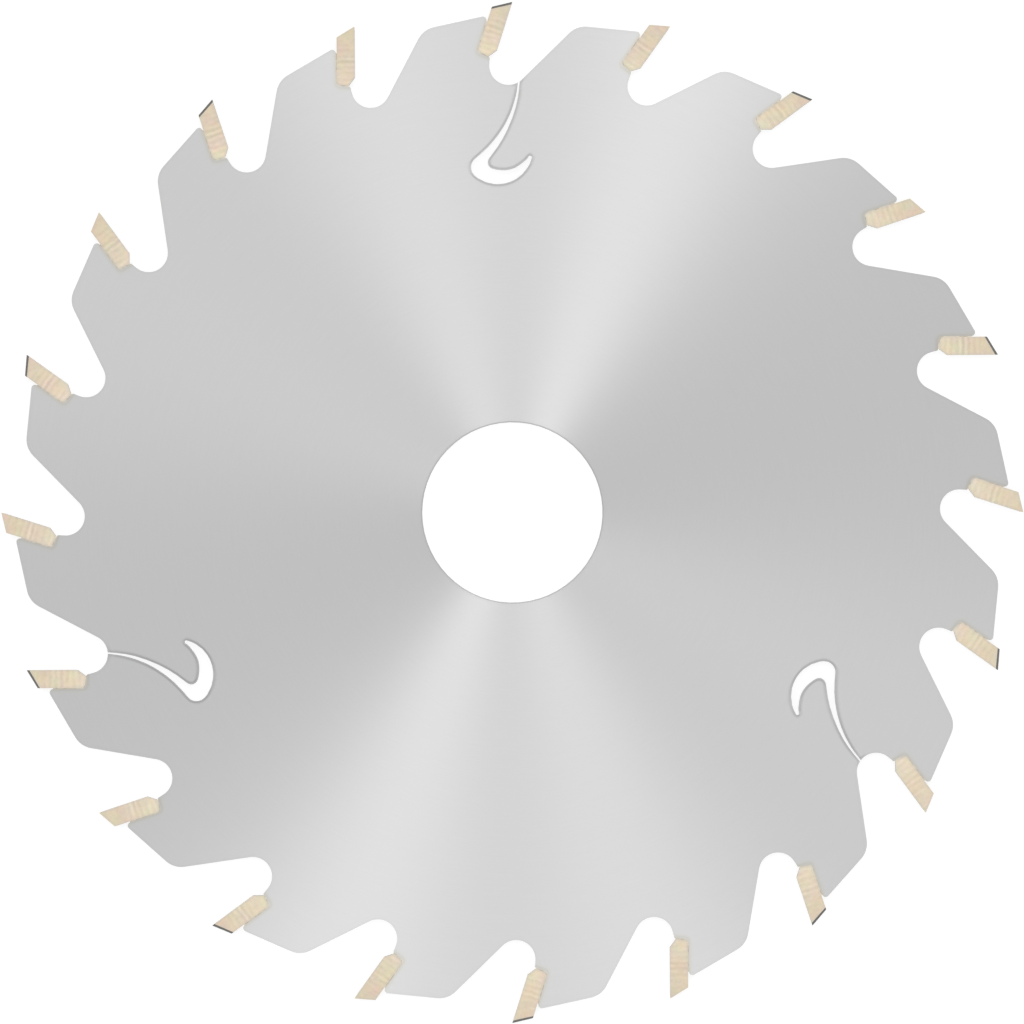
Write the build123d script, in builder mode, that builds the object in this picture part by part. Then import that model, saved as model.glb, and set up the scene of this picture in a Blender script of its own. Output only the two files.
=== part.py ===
from build123d import *
import math
import os

# A circular saw blade: one flat steel plate with a carbide tip brazed into each tooth.
# It lies flat in the XY plane, centred on its bore, and cuts clockwise as seen from above.

# Whole blade, in millimetres
blade_diameter = 170.0
bore_diameter = 30.0
bore_chamfer = 0.2
plate_thickness = 1.6
kerf_width = 2.6
tooth_count = 20

# Ground angles of a carbide tip, in degrees
hook_angle = 17.5
top_relief_angle = 13.0
top_bevel_angle = 10.0
radial_clearance_angle = 1.5
tangential_clearance_angle = 2.5

# Carbide blank, measured along and across its rake face
tip_length = 9.9
tip_thickness = 3.0
tip_toe_length = 1.43
tip_toe_depth = 1.05
tip_foot_angle = 7.0
tip_heel_radius = 0.7
braze_gap = 0.15

# Steel behind and between the tips
tip_stand = 3.4
tooth_corner_radius = 0.6
tooth_back_angle = 12.4
shoulder_radius = 3.8
gullet_wall_lead = 0.22
gullet_wall_length = 1.36
gullet_wall_angle = 3.1
gullet_radius = 3.2
gullet_slope_angle = 44.4

# Expansion slots: the tooth whose gullet each one opens into, where its hook sits and how it leans
slot_teeth = (5, 11, 18)
slot_depths = (12.59, 11.11, 12.53)
slot_leads = (2.38, 8.68, 6.12)
slot_leans = (0.0, -18.0, -9.0)

# Hook of a slot, upright, from its mouth round the outside to the point, and back along the inside
slot_outside = (
    (3.48, 15.0), (3.04, 11.0), (1.91, 7.53), (0.19, 4.51), (-3.50, 0.60), (-4.16, -0.04),
    (-4.26, -1.89), (-3.30, -2.88), (-0.55, -3.85), (3.10, -2.98), (5.03, -0.99), (5.66, 0.53),
)
slot_inside = (
    (5.11, 0.72), (4.21, -0.24), (2.87, -1.13), (-0.44, -1.39), (-1.40, -0.94), (-1.65, -0.42),
    (-0.86, 1.24), (0.92, 3.89), (2.35, 7.00), (3.26, 10.05), (3.72, 15.0),
)

# Which way the inside of the slot runs out at its mouth
slot_mouth_way = (0.03, 1)

tip_radius = blade_diameter / 2
bore_radius = bore_diameter / 2
half_kerf = kerf_width / 2
half_plate = plate_thickness / 2
tooth_pitch = 360 / tooth_count


def heading(angle):
    """Unit vector in the XY plane at an angle from +X, in degrees."""
    return Vector(1, 0, 0).rotate(Axis.Z, angle)


def meet(start, direction, other_start, other_direction):
    """Point where two straight lines in the XY plane cross."""
    gap = other_start - start
    share = gap.cross(other_direction).Z / direction.cross(other_direction).Z
    return start + direction * share


def tooth_turn(tooth):
    """Turn that takes an upright tooth, its cutting point on +Y, to its place on the rim."""
    return tooth * tooth_pitch - 90


# Frame of an upright tip: origin at the cutting point, +X out of the rake face, +Y out along it
tip_frame = Plane(origin=(0, tip_radius, 0), x_dir=heading(-hook_angle), z_dir=(0, 0, 1))

# Corners of the blank and of its seat, in the tip's frame
foot_rise = math.tan(math.radians(tip_foot_angle))
toe = Vector(-tip_toe_depth, -tip_length)
heel = Vector(-tip_thickness, -tip_length + (tip_thickness - tip_toe_depth) * foot_rise)
seat_foot_drop = braze_gap / math.cos(math.radians(tip_foot_angle))
seat_heel = heel + Vector(-braze_gap, braze_gap * foot_rise - seat_foot_drop)
seat_top = Vector(seat_heel.X, -tip_stand)

# Corners of the steel round one gullet, in the frame of the upright tooth behind it
tooth_corner = tip_frame.from_local_coords(seat_top)
seat_corner = tip_frame.from_local_coords(seat_heel)
wall_direction = heading(90 - gullet_wall_angle)
wall_normal = heading(-gullet_wall_angle)
wall_top = tip_frame.from_local_coords(toe) + wall_normal * gullet_wall_lead
foot_direction = heading(180 - tip_foot_angle - hook_angle)
seat_mouth = meet(seat_corner, foot_direction, wall_top, wall_direction)

wall_end = wall_top - wall_direction * gullet_wall_length
gullet_centre = wall_end + wall_normal * gullet_radius
gullet_floor_radius = gullet_centre.length - gullet_radius
slope_direction = heading(gullet_slope_angle)
slope_start = gullet_centre + heading(gullet_slope_angle - 90) * gullet_radius
gullet_corner = meet(wall_top, wall_direction, slope_start, slope_direction)

next_tooth_corner = tooth_corner.rotate(Axis.Z, -tooth_pitch)
next_back_direction = heading(tooth_back_angle - tooth_pitch)
shoulder_corner = meet(slope_start, slope_direction, next_tooth_corner, next_back_direction)

outline_step = (
    (shoulder_corner, shoulder_radius),
    (gullet_corner, gullet_radius),
    (seat_mouth, 0),
    (seat_corner, tip_heel_radius + braze_gap),
    (tooth_corner, tooth_corner_radius),
)
outline_points = []
outline_radii = []
for tooth in range(tooth_count):
    for corner, radius in outline_step:
        outline_points.append(corner.rotate(Axis.Z, tooth_turn(tooth)))
        outline_radii.append(radius)

with BuildSketch() as slot_hook:
    with BuildLine():
        outside = Spline(*slot_outside)
        point = TangentArc(outside @ 1, slot_inside[0], tangent=outside % 1)
        inside = Spline(*slot_inside, tangents=(point % 1, slot_mouth_way), tangent_scalars=(1, 1))
        Line(inside @ 1, outside @ 0)
    make_face()

with BuildPart() as saw_plate:
    with BuildSketch(Plane.XY.offset(-half_plate)):
        with BuildLine():
            FilletPolyline(*outline_points, radius=outline_radii, close=True)
        make_face()
        for tooth, depth, lead, lean in zip(slot_teeth, slot_depths, slot_leads, slot_leans):
            slot_centre = heading(tooth * tooth_pitch + lead) * (gullet_floor_radius - depth)
            with Locations(Location(slot_centre, (0, 0, tooth_turn(tooth) + lean))):
                add(slot_hook.sketch, mode=Mode.SUBTRACT)
    extrude(amount=plate_thickness)
    Hole(bore_radius)
    chamfer(saw_plate.edges(Select.LAST).filter_by(GeomType.CIRCLE), length=bore_chamfer)
saw_plate.part.label = "saw_plate"

# One tip upright in its own frame. The blank stands proud at its top and on both sides, and is
# ground down to its top relief, which falls towards +Z, and to its two side clearances.
top_heading = 90 + hook_angle + top_relief_angle
top_normal = heading(top_heading) * math.cos(math.radians(top_bevel_angle))
top_normal += Vector(0, 0, math.sin(math.radians(top_bevel_angle)))
side_fall = Vector(
    -math.tan(math.radians(tangential_clearance_angle)),
    -math.tan(math.radians(radial_clearance_angle)),
)
with BuildPart() as tip_blank:
    with BuildSketch():
        with BuildLine():
            FilletPolyline(
                (0, tip_thickness),
                (0, tip_toe_length - tip_length),
                toe,
                heel,
                (-tip_thickness, tip_thickness),
                radius=(0, 0, 0, tip_heel_radius, 0),
                close=True,
            )
        make_face()
    extrude(amount=kerf_width, both=True)
    split(bisect_by=Plane(origin=(0, 0, -half_kerf), z_dir=top_normal), keep=Keep.BOTTOM)
    for side in (-1, 1):
        side_face = Plane(origin=(0, 0, side * half_kerf), z_dir=side_fall + Vector(0, 0, side))
        split(bisect_by=side_face, keep=Keep.BOTTOM)

with BuildPart() as tip_blank_mirrored:
    mirror(tip_blank.part, about=Plane.XY)

# The braze between one tip and its seat, down the back, round the heel and along the foot
corner_half_angle = (90 - hook_angle - tooth_back_angle) / 2
braze_top = tip_stand + tooth_corner_radius / math.tan(math.radians(corner_half_angle))
with BuildPart() as braze_film:
    with BuildSketch(Plane.XY.offset(-half_plate)):
        with BuildLine():
            FilletPolyline(
                (-tip_thickness, -braze_top),
                (seat_heel.X, -braze_top),
                seat_heel,
                tip_frame.to_local_coords(seat_mouth),
                toe,
                heel,
                radius=(0, 0, tip_heel_radius + braze_gap, 0, 0, tip_heel_radius),
                close=True,
            )
        make_face()
    extrude(amount=plate_thickness)

os.makedirs("parts", exist_ok=True)
export_step(saw_plate.part, "parts/saw_plate.step")

for tooth in range(tooth_count):
    seat = Rotation(0, 0, tooth_turn(tooth)) * tip_frame.location

    with BuildPart() as carbide_tip:
        with Locations(seat):
            add(tip_blank.part if tooth % 2 else tip_blank_mirrored.part)
    carbide_tip.part.label = f"carbide_tip_{tooth + 1:02d}"
    export_step(carbide_tip.part, f"parts/{carbide_tip.part.label}.step")

    with BuildPart() as braze:
        with Locations(seat):
            add(braze_film.part)
    braze.part.label = f"braze_{tooth + 1:02d}"
    export_step(braze.part, f"parts/{braze.part.label}.step")
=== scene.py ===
import math

import bpy
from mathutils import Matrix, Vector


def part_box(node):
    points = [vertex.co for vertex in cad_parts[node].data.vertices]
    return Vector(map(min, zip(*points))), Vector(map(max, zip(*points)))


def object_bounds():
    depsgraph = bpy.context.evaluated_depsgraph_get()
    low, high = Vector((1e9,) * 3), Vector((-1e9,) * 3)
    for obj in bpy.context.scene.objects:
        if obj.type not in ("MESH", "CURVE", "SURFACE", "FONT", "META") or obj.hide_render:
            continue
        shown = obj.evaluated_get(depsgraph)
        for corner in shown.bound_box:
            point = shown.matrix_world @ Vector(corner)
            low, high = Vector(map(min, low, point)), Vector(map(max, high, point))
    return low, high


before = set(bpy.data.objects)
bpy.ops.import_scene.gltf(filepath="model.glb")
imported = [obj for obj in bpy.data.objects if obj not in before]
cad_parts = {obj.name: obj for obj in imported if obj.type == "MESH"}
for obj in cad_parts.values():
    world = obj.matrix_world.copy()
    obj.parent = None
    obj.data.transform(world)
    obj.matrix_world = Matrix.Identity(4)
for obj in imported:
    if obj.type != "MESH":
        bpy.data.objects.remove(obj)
cad_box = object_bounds()

MM = 0.001

# The blade, as it lies flat with its bore at the origin, in millimetres and degrees
blade_radius = cad_box[1].x / MM
plate_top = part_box("saw_plate")[1].z / MM
tooth_count = sum(name.startswith("carbide_tip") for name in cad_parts)
tooth_pitch = 360 / tooth_count
hook_angle = 17.5
tip_thickness = 3.0
tip_length = 9.9
tip_heel_radius = 0.7
bore_radius = 15.0

# How far in front of a cutting point its own tooth is taken to begin, in degrees
tooth_lead = 5.0

# Height above a tip's foot, in millimetres, over which painted light comes in against the tip's shadow
# there: lighter braze and tarnish moved out from the gap
foot_fade = 0.6

# The painted dark line of shade along the slots, standing in for the shade of a chamfered edge: how far out
# it runs in millimetres, where each slot opens into its gullet and how far the line spreads there, in
# degrees, and how dark it is along the slots and elsewhere
slot_line_radius = 70.3
slot_mouths = (89.2, -160.7, -35.3)
slot_mouth_spread = 0.7
slot_edge_shade_strength = 0.31
other_edge_shade_strength = 0.03

# Reach in millimetres of the rounding that finds an edge, on the steel and on a tip
steel_edge_reach = 1.15
tip_edge_reach = 0.8

# How level a surface is, from nothing on a wall to one on a flat face: where a chamfer and a face begin
chamfer_level = (0.3, 0.6)
face_level = (0.9, 0.97)

# The photograph: the width it covers and how far its middle lies from the bore's centre, and the camera's
# lens and sensor, all in millimetres
view_width = 170.33
view_offset = (-0.058, 0.075)
lens = 600.0
sensor_width = 36.0

# Lamps: heading and slope from straight up in degrees, light on a level surface, and spread in degrees
lamps = {
    "lamp_key": (68.4, 20.9, 0.180, 8.0),
    "lamp_fill": (107.4, 18.3, 0.145, 8.0),
    "lamp_rim": (153.5, 25.1, 0.085, 18.0),
}

# Light of the pale sky, except where it is seen
world_strength = 0.85

# The floor: half its width in metres, the light it gives where it is seen, and its own grey
floor_half_width = 3.0
floor_glow = 0.85
floor_grey = 0.25


class Field:
    """A number that a material works out at each point, so that a pattern is written as a formula."""

    def __init__(self, graph, socket):
        self.graph = graph
        self.socket = socket

    def __add__(self, other):
        return self.graph.math("ADD", self, other)

    def __radd__(self, other):
        return self.graph.math("ADD", other, self)

    def __sub__(self, other):
        return self.graph.math("SUBTRACT", self, other)

    def __rsub__(self, other):
        return self.graph.math("SUBTRACT", other, self)

    def __mul__(self, other):
        return self.graph.math("MULTIPLY", self, other)

    def __truediv__(self, other):
        return self.graph.math("DIVIDE", self, other)

    def __abs__(self):
        return self.graph.math("ABSOLUTE", self)


class Graph:
    """The shader nodes of one material, added and joined by short calls."""

    def __init__(self, tree):
        self.tree = tree
        self.tree.nodes.clear()

    def node(self, kind, inputs=None, **settings):
        made = self.tree.nodes.new("ShaderNode" + kind)
        for name, value in settings.items():
            setattr(made, name, value)
        for name, value in (inputs or {}).items():
            self.feed(made.inputs[name], value)
        return made

    def feed(self, socket, value):
        if isinstance(value, Field):
            value = value.socket
        if isinstance(value, bpy.types.NodeSocket):
            self.tree.links.new(value, socket)
        else:
            socket.default_value = value

    def field(self, kind, inputs=None, output=0, **settings):
        return Field(self, self.node(kind, inputs, **settings).outputs[output])

    def math(self, operation, *values):
        return self.field("Math", dict(enumerate(values)), operation=operation)

    def vector(self, operation, *values):
        return self.field("VectorMath", dict(enumerate(values)), operation=operation)

    def scaled(self, vector, factor):
        return self.field("VectorMath", {0: vector, "Scale": factor}, operation="SCALE")

    def joined(self, x, y, z):
        return self.field("CombineXYZ", {"X": x, "Y": y, "Z": z})

    def bell(self, place, centre, width):
        """One at the centre, and falling smoothly to nothing on both sides."""
        share = (place - centre) / width
        return self.math("POWER", math.e, share * share * -1.0)

    def step(self, place, start, end):
        """Nothing before the start, one after the end, and a smooth rise between them."""
        inputs = {"Value": place, "From Min": start, "From Max": end}
        return self.field("MapRange", inputs, interpolation_type="SMOOTHSTEP")

    def noise(self, place, scale, detail=2.0, roughness=0.5):
        """Soft noise about nothing, from about minus a half to a half."""
        inputs = {"Vector": place, "Scale": scale, "Detail": detail, "Roughness": roughness}
        return self.field("TexNoise", inputs, output="Fac") - 0.5

    def tints(self, place, scale, strength):
        """A colour near white that wanders a little, to multiply another by."""
        made = self.node("TexNoise", {"Vector": place, "Scale": scale})
        about_nothing = self.vector("SUBTRACT", made.outputs["Color"], (0.5, 0.5, 0.5))
        return self.vector("ADD", self.scaled(about_nothing, strength), (1.0, 1.0, 1.0))

    def mix(self, share, first, second):
        """Colour that goes from the first to the second as the share goes from nothing to one."""
        made = self.node("Mix", data_type="RGBA")
        self.feed(made.inputs["Factor"], share)
        self.feed(made.inputs["A"], first)
        self.feed(made.inputs["B"], second)
        return Field(self, made.outputs["Result"])

    def edge_slope(self, reach):
        """Lean of the surface if rounded over the reach: about 0.3 at an edge, nothing away from it."""
        rounded = self.node("Bevel", {"Radius": reach * MM}, samples=8)
        flat = self.node("NewGeometry")
        lean = self.node("VectorMath", {0: rounded.outputs[0], 1: flat.outputs["True Normal"]},
                         operation="DOT_PRODUCT")
        return 1.0 - Field(self, lean.outputs["Value"])

    def edge_shade_band(self, reach):
        """One along a line just inside an edge, where shade is painted, and nothing on the edge itself and
        further in.
        """
        slope = self.edge_slope(reach)
        return self.step(slope, 0.0, 0.08) * (1.0 - self.step(slope, 0.16, 0.30))


def linear(red, green, blue):
    """A display colour, from 0 to 255, as the light it stands for."""
    def channel(level):
        share = level / 255
        return share / 12.92 if share <= 0.04045 else ((share + 0.055) / 1.055) ** 2.4
    return (channel(red), channel(green), channel(blue), 1.0)


def new_graph(name):
    material = bpy.data.materials.new(name)
    material.use_nodes = True
    return material, Graph(material.node_tree)


class ToothPlace:
    """Where a point lies on the blade, and on the tip of its own tooth, in millimetres and radians."""

    def __init__(self, graph):
        coordinates = graph.node("TexCoord")
        self.point = graph.scaled(coordinates.outputs["Object"], 1 / MM)
        split = graph.node("SeparateXYZ", {0: self.point}).outputs
        x = Field(graph, split["X"])
        y = Field(graph, split["Y"])
        self.z = Field(graph, split["Z"])
        self.radius = graph.math("SQRT", x * x + y * y)
        self.azimuth = graph.math("ARCTAN2", y, x)
        pitch = math.radians(tooth_pitch)
        self.tooth = graph.math("FLOOR", (self.azimuth + math.radians(tooth_lead)) / pitch)
        turned = graph.field("VectorRotate", {"Vector": self.point, "Angle": self.tooth * -pitch},
                             rotation_type="Z_AXIS")
        from_point = graph.vector("SUBTRACT", turned, (blade_radius, 0.0, 0.0))
        along_tip = graph.field("VectorRotate", {"Vector": from_point, "Angle": math.radians(hook_angle)},
                                rotation_type="Z_AXIS")
        tip_split = graph.node("SeparateXYZ", {0: along_tip}).outputs
        self.depth = Field(graph, tip_split["X"]) * -1.0
        self.behind = Field(graph, tip_split["Y"])
        normal = graph.node("SeparateXYZ", {0: coordinates.outputs["Normal"]}).outputs
        self.level = abs(Field(graph, normal["Z"]))

    def outside_tip(self, graph):
        """How far a point lies behind or below the tip's back, heel and foot."""
        past_back = graph.math("MAXIMUM", self.behind - (tip_thickness - tip_heel_radius), 0.0)
        past_foot = graph.math("MAXIMUM", self.depth - (tip_length - tip_heel_radius), 0.0)
        return graph.math("SQRT", past_back * past_back + past_foot * past_foot) - tip_heel_radius

    def foot(self, graph):
        """One at the tip's foot and beyond it, and nothing higher up the tip."""
        return graph.step(self.depth, tip_length - foot_fade, tip_length)


def steel_material():
    """Spring steel: ground in circles on both faces, laser-cut at every edge, stained at each seat, with
    painted shade inside the slot edges.
    """
    ground_grey = 0.654
    wall_shade = (0.30, 0.295, 0.285)
    chamfer_shade = (0.55, 0.55, 0.55, 1.0)
    straw_tint = (1.0, 0.985, 0.93)
    tarnish_shade = linear(184, 178, 162)
    tarnish_gap, tarnish_width, foot_light_shift = 0.2, 0.24, 0.15
    heat_gap, heat_width = 0.3, 0.45

    material, graph = new_graph("ground_steel")
    place = ToothPlace(graph)

    # Fine grinding lines, each a long arc round the bore
    around = place.azimuth * 9.0
    fine = graph.noise(graph.joined(place.radius * 22.0, around, 0.0), 1.0, detail=3.0)
    broad = graph.noise(graph.joined(place.radius * 2.0, around * 0.3, 0.0), 1.0)
    ground = graph.scaled((ground_grey, ground_grey, ground_grey), 1.0 + fine * 0.09 + broad * 0.012)

    # Brown tarnish where the braze has run out over the steel, and a faint straw tint round it
    gap = place.outside_tip(graph)
    own_side = graph.step(place.behind, -0.6, 0.4)
    # Painted light: at a tip's foot the tarnish is moved out from the gap, so the tip's shadow there is
    # left less dark
    shifted = gap - place.foot(graph) * foot_light_shift
    tarnish = graph.bell(shifted, tarnish_gap, tarnish_width) * own_side * 0.2
    heat = graph.bell(gap, heat_gap, heat_width) * own_side * 0.7
    ground = graph.mix(heat, ground, graph.vector("MULTIPLY", ground, straw_tint))
    ground = graph.mix(tarnish, ground, tarnish_shade)

    # A painted dark line of shade just inside each slot edge, standing in for a chamfered edge, and hardly
    # any along the rim and the bore
    inward = 1.0 - graph.step(place.radius, slot_line_radius, slot_line_radius + 0.4)
    for mouth in slot_mouths:
        at_mouth = graph.bell(place.azimuth, math.radians(mouth), math.radians(slot_mouth_spread))
        inward = graph.math("MAXIMUM", inward, at_mouth)
    near_slot = inward * graph.step(place.radius, bore_radius + 1, bore_radius + 2)
    line = graph.edge_shade_band(steel_edge_reach) * (near_slot * slot_edge_shade_strength + other_edge_shade_strength)
    ground = graph.scaled(ground, 1.0 - line)

    # Cut walls: streaks from face to face, and a brighter turned chamfer at the bore
    streaks = graph.noise(graph.vector("MULTIPLY", place.point, (5.0, 5.0, 0.35)), 1.0, detail=3.0)
    wall = graph.scaled(wall_shade, 1.0 + streaks * 0.7)
    chamfer = graph.mix(graph.step(place.level, *chamfer_level), wall, chamfer_shade)
    colour = graph.mix(graph.step(place.level, *face_level), chamfer, ground)

    relief = fine * 0.0004 + streaks * 0.006 * (1.0 - graph.step(place.level, *chamfer_level))
    bump = graph.node("Bump", {"Height": relief, "Distance": MM})
    tangent = graph.node("Tangent", direction_type="RADIAL", axis="Z").outputs[0]
    shader = graph.node("BsdfPrincipled", {
        "Base Color": colour,
        "Metallic": 1.0,
        "Roughness": 0.436,
        "Anisotropic": 1.0,
        "Anisotropic Rotation": 0.25,
        "Tangent": tangent,
        "Normal": bump.outputs[0],
    })
    graph.node("OutputMaterial", {"Surface": shader.outputs[0]})
    return material


def carbide_material():
    """A carbide tip: fired cream on its sides with rippled bands and painted grey shade inside its edges,
    and ground dark on its narrow faces.
    """
    top_cream = linear(223, 207.5, 183)
    foot_cream = linear(231, 218.5, 195)
    edge_shade_grey = linear(196, 192, 190)
    ground_dark = linear(78, 76, 70)[:3]
    braze_straw_and_light = linear(204, 196, 178)
    ripple_pitch = 0.97
    ripple_crest = 5.4

    material, graph = new_graph("carbide_tip")
    place = ToothPlace(graph)
    side = graph.step(place.level, *face_level)
    seed = place.tooth * 7.3

    # Ripples run across the blank a little unevenly, strongest half-way down
    across = graph.joined(place.behind * 0.45, place.depth * 0.5, seed)
    bend = graph.noise(across, 1.0) * 0.4
    ripple = graph.math("COSINE", (place.depth + bend - ripple_crest) * (2 * math.pi / ripple_pitch))
    strength = graph.bell(place.depth, 5.6, 0.8) * 0.7 + 0.35
    uneven = 1.0 + graph.noise(graph.joined(place.behind * 0.3, place.depth * 0.4, seed + 2.0), 1.0) * 2.5
    ripple = ripple * strength * uneven * graph.step(place.depth, 2.2, 3.4)

    # Slanting streaks, soft patches and fine grain, different on each tip
    slant = graph.joined(place.behind * 0.8 + place.depth * 0.3, place.depth * 1.6, seed)
    streaks = graph.noise(slant, 1.0, detail=3.0, roughness=0.6)
    patches = graph.joined(place.behind * 0.45, place.depth * 0.45, seed + 4.0)
    grain = graph.noise(graph.vector("ADD", place.point, graph.joined(seed, 0.0, 0.0)), 3.0)
    own = graph.noise(graph.joined(seed, 0.5, 0.5), 1.0)
    shade = 1.0 + ripple * 0.072 + streaks * 0.24 + grain * 0.14 + own * 0.12

    down = place.depth / tip_length
    cream = graph.mix(down * down, top_cream, foot_cream)
    cream = graph.vector("MULTIPLY", cream, graph.tints(patches, 1.0, 0.22))
    # Painted shade: the cream turns grey in a band just inside each edge of a tip
    cream = graph.mix(graph.edge_shade_band(tip_edge_reach) * 0.3, graph.scaled(cream, shade), edge_shade_grey)

    # Wheel marks on the ground faces, from side to side
    marks = graph.noise(graph.joined(place.depth * 9.0, place.behind * 9.0, place.z * 0.6), 1.0, detail=3.0)
    dark = graph.scaled(ground_dark, 1.0 + marks * 0.5)

    # Braze that has climbed up the back and the foot of the blank, its lighter straw also painted light
    # against the shade in the gap behind the tip
    braze_climb_and_light = graph.step(place.depth, 3.2, 3.8) * graph.step(place.outside_tip(graph), -0.1, -0.02)
    dark = graph.mix(braze_climb_and_light, dark, braze_straw_and_light)
    colour = graph.mix(side, dark, cream)

    relief = side * (ripple * 0.004 + streaks * 0.02 + grain * 0.01) + (1.0 - side) * marks * 0.003
    bump = graph.node("Bump", {"Height": relief, "Distance": MM})
    shader = graph.node("BsdfPrincipled", {
        "Base Color": colour,
        "Roughness": 0.6 - (1.0 - side) * 0.15,
        "Specular IOR Level": 0.1,
        "Normal": bump.outputs[0],
    })
    graph.node("OutputMaterial", {"Surface": shader.outputs[0]})
    return material


def braze_material():
    """Silver brazing alloy: dull straw, with darker flux stains, and painted lighter along the foot of a
    tip against the tip's shadow there.
    """
    clean_straw = linear(208, 201, 186)
    stained_straw = linear(194, 186, 170)

    material, graph = new_graph("silver_braze")
    place = ToothPlace(graph)
    stains = graph.step(graph.noise(place.point, 1.6, detail=3.0), -0.1, 0.15)
    colour = graph.mix(stains, clean_straw, stained_straw)
    # Painted light: the braze is lighter along a tip's foot, where the tip's shadow falls on it
    colour = graph.scaled(colour, 1.0 + place.foot(graph) * 0.12)
    lumps = graph.noise(place.point, 4.0)
    bump = graph.node("Bump", {"Height": lumps * 0.03, "Distance": MM})
    shader = graph.node("BsdfPrincipled", {
        "Base Color": colour,
        "Metallic": 0.6,
        "Roughness": 0.45 + stains * 0.15,
        "Normal": bump.outputs[0],
    })
    graph.node("OutputMaterial", {"Surface": shader.outputs[0]})
    return material


def seen_directly(graph):
    """One for rays that show the backdrop in the picture, in a reflection or through glass."""
    rays = graph.node("LightPath").outputs
    shown = graph.math("MAXIMUM", rays["Is Camera Ray"], rays["Is Glossy Ray"])
    return graph.math("MAXIMUM", shown, rays["Is Transmission Ray"])


def add_floor(top):
    """A wide white floor that keeps a faint shadow."""
    half = floor_half_width
    mesh = bpy.data.meshes.new("floor")
    corners = [(-half, -half, top), (half, -half, top), (half, half, top), (-half, half, top)]
    mesh.from_pydata(corners, [], [(0, 1, 2, 3)])
    floor = bpy.data.objects.new("floor", mesh)
    bpy.context.scene.collection.objects.link(floor)
    material, graph = new_graph("white_floor")
    glow = graph.node("Emission", {"Strength": seen_directly(graph) * floor_glow})
    matt = graph.node("BsdfDiffuse", {"Color": (floor_grey, floor_grey, floor_grey, 1.0)})
    both = graph.node("AddShader", {0: glow.outputs[0], 1: matt.outputs[0]})
    graph.node("OutputMaterial", {"Surface": both.outputs[0]})
    mesh.materials.append(material)


def add_world():
    """An even pale sky, white where it is seen."""
    world = bpy.data.worlds.new("studio")
    world.use_nodes = True
    bpy.context.scene.world = world
    graph = Graph(world.node_tree)
    strength = seen_directly(graph) * (1 - world_strength) + world_strength
    sky = graph.node("Background", {"Color": (1.0, 1.0, 1.0, 1.0), "Strength": strength})
    graph.node("OutputWorld", {"Surface": sky.outputs[0]})


def add_lamp(name, heading, slope, light, spread):
    """A distant soft lamp that gives the stated light on a level surface."""
    lamp = bpy.data.lights.new(name, "SUN")
    lamp.energy = light / math.cos(math.radians(slope))
    lamp.angle = math.radians(spread)
    made = bpy.data.objects.new(name, lamp)
    bpy.context.scene.collection.objects.link(made)
    made.rotation_euler = (0.0, math.radians(slope), math.radians(heading))
    made.location = (0.0, 0.0, 1.0)


def add_camera():
    """Straight down, far off behind a long lens, framed as the photograph is."""
    camera = bpy.data.cameras.new("camera")
    camera.lens = lens
    camera.sensor_width = sensor_width
    distance = lens / sensor_width * view_width * MM
    camera.clip_start = distance / 10
    camera.clip_end = distance * 10
    made = bpy.data.objects.new("camera", camera)
    bpy.context.scene.collection.objects.link(made)
    made.location = (view_offset[0] * MM, view_offset[1] * MM, distance + plate_top * MM)
    bpy.context.scene.camera = made


materials = {
    "saw_plate": steel_material(),
    "carbide_tip": carbide_material(),
    "braze": braze_material(),
}
for name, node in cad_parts.items():
    for kind, material in materials.items():
        if name.startswith(kind):
            node.material_slots[0].material = material

add_floor(cad_box[0].z)
add_world()
for name, settings in lamps.items():
    add_lamp(name, *settings)
add_camera()

bpy.context.scene.view_settings.view_transform = "Standard"
